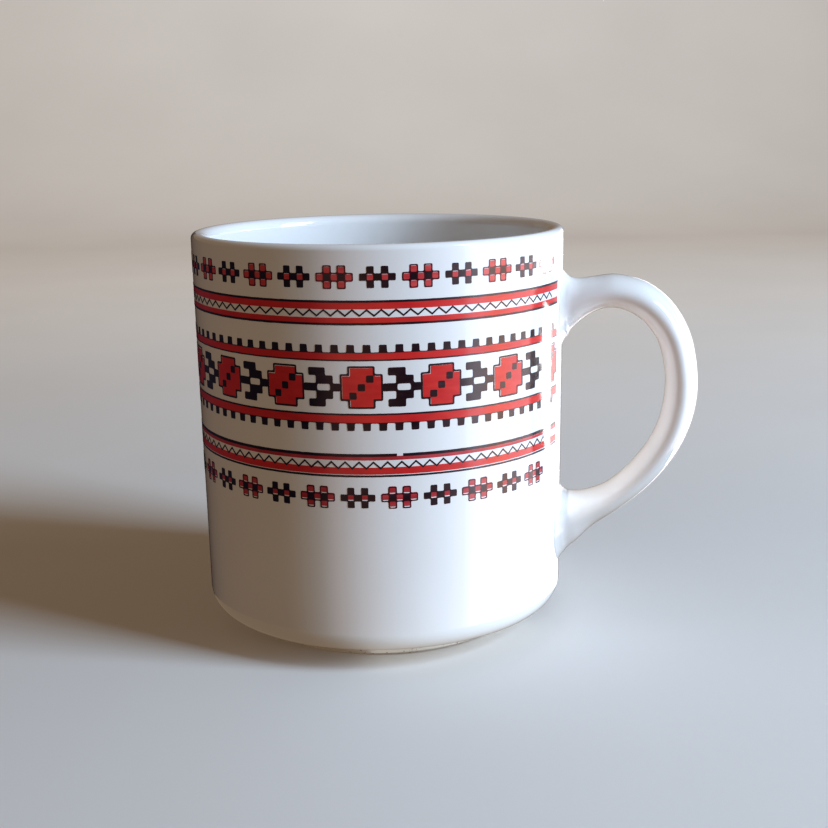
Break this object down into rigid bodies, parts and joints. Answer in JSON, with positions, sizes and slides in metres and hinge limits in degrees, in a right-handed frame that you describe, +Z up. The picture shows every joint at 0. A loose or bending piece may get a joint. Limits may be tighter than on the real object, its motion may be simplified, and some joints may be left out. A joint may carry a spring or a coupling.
{
  "type": "ceramic mug",
  "caption": "Straight-sided glazed ceramic mug with a looped strap handle, a bare foot ring and a fired red and black cross-stitch style border round its upper half.",
  "frame": {"origin": "middle of the foot ring's resting plane, on the cup's axis", "axes": "+Z up along the cup's axis, +X through the middle of the handle"},
  "size_m": [0.1088, 0.0802, 0.0867],
  "materials": {
    "white_glaze": "gloss",
    "bare_clay": "matt, unglazed",
    "red_ink": "gloss, fired on the glaze",
    "black_ink": "gloss, fired on the glaze"
  },
  "bodies": {
    "root": {"cup_body": "white_glaze", "foot_ring": "bare_clay", "handle": "white_glaze", "upper_slip_joint": "white_glaze", "lower_slip_joint": "white_glaze", "upper_flowers_red": "red_ink", "upper_flowers_black": "black_ink", "upper_zigzag_red": "red_ink", "upper_zigzag_black": "black_ink", "upper_teeth_red": "red_ink", "upper_teeth_black": "black_ink", "rose_chain_red": "red_ink", "rose_chain_black": "black_ink", "lower_teeth_red": "red_ink", "lower_teeth_black": "black_ink", "lower_zigzag_red": "red_ink", "lower_zigzag_black": "black_ink", "lower_flowers_red": "red_ink", "lower_flowers_black": "black_ink"}
  },
  "joints": []
}
